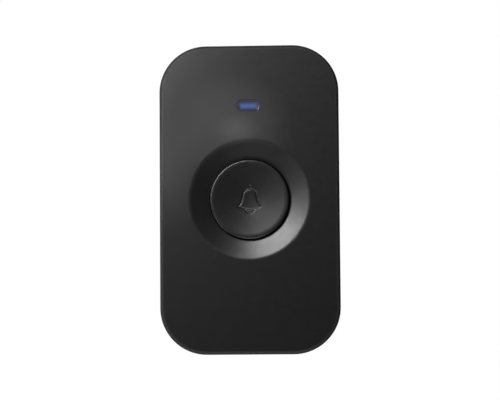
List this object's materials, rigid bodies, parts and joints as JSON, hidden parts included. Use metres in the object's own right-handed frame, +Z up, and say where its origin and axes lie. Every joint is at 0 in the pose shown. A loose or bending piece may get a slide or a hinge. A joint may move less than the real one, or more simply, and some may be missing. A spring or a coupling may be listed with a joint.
{
  "type": "wireless doorbell push",
  "caption": "Wireless doorbell push: a flat rounded case with a dished ring, a round push button that clicks inwards, an indicator window and a tilt-open cover.",
  "frame": {"origin": "middle of the base's flat wall face", "axes": "+X to the right as a visitor sees it, +Y into the wall, +Z up"},
  "size_m": [0.05, 0.017, 0.086],
  "materials": {
    "case_black": "fine spark-eroded texture, matt",
    "base_black": "moulded, satin",
    "inner_black": "moulded, satin",
    "blue_window": "clear blue-tinted acrylic, polished",
    "silicone": "moulded silicone, dusty matt",
    "foam": "closed-cell foam tape, matt",
    "screw_steel": "zinc plated",
    "tinned_steel": "bright tin",
    "can_nickel": "nickel plated",
    "can_aluminium": "satin",
    "board_green": "glass-fibre board under green solder mask, satin",
    "chip_resin": "moulded epoxy, matt",
    "capacitor_ceramic": "fired, satin",
    "lamp_white": "moulded, matt",
    "battery_wrap": "shrunk sleeve, glossy"
  },
  "bodies": {
    "base": {"rear_base": "base_black", "case_seal": "silicone", "foam_pads": "foam", "circuit_board": "board_green", "board_screws": "screw_steel", "switch_body": "inner_black", "switch_plate": "tinned_steel", "switch_dome": "tinned_steel", "switch_pins": "tinned_steel", "encoder_chip": "chip_resin", "chip_legs": "tinned_steel", "resonator_can": "can_nickel", "radio_transistor": "chip_resin", "transistor_legs": "tinned_steel", "filter_foot": "inner_black", "filter_can": "can_aluminium", "chip_capacitors": "capacitor_ceramic", "capacitor_ends": "tinned_steel", "chip_resistors": "chip_resin", "resistor_ends": "tinned_steel", "lamp_base": "lamp_white", "lamp_dome": "blue_window", "antenna_coil": "tinned_steel", "battery_can": "can_nickel", "battery_sleeve": "battery_wrap", "battery_washer": "inner_black", "battery_terminal": "can_nickel", "spring_plate": "can_nickel", "terminal_plate": "can_nickel", "battery_spring": "can_nickel"},
    "cover": {"front_cover": "case_black", "light_pipe": "blue_window", "boot_retainer": "inner_black", "retainer_screws": "screw_steel", "button_boot": "silicone"},
    "button": {"button_cap": "case_black"},
    "plunger": {"switch_plunger": "inner_black"}
  },
  "joints": [
    {"name": "cover_tilt", "type": "hinge", "parent": "base", "child": "cover", "pos_m": [0, -0.004, 0.0427], "axis": [-1, 0, 0], "range_deg": [0, 30]},
    {"name": "button_press", "type": "slide", "parent": "cover", "child": "button", "axis": [0, 1, 0], "range_m": [0, 0.0005], "stiffness_N_per_m": 1600, "springref_m": -0.0005, "deforming": ["button_boot"]},
    {"name": "plunger_press", "type": "slide", "parent": "base", "child": "plunger", "axis": [0, 1, 0], "range_m": [0, 0.0005], "deforming": ["switch_dome"]}
  ],
  "couplings": [
    {"joint": "plunger_press", "follows": "button_press", "ratio": 1}
  ]
}
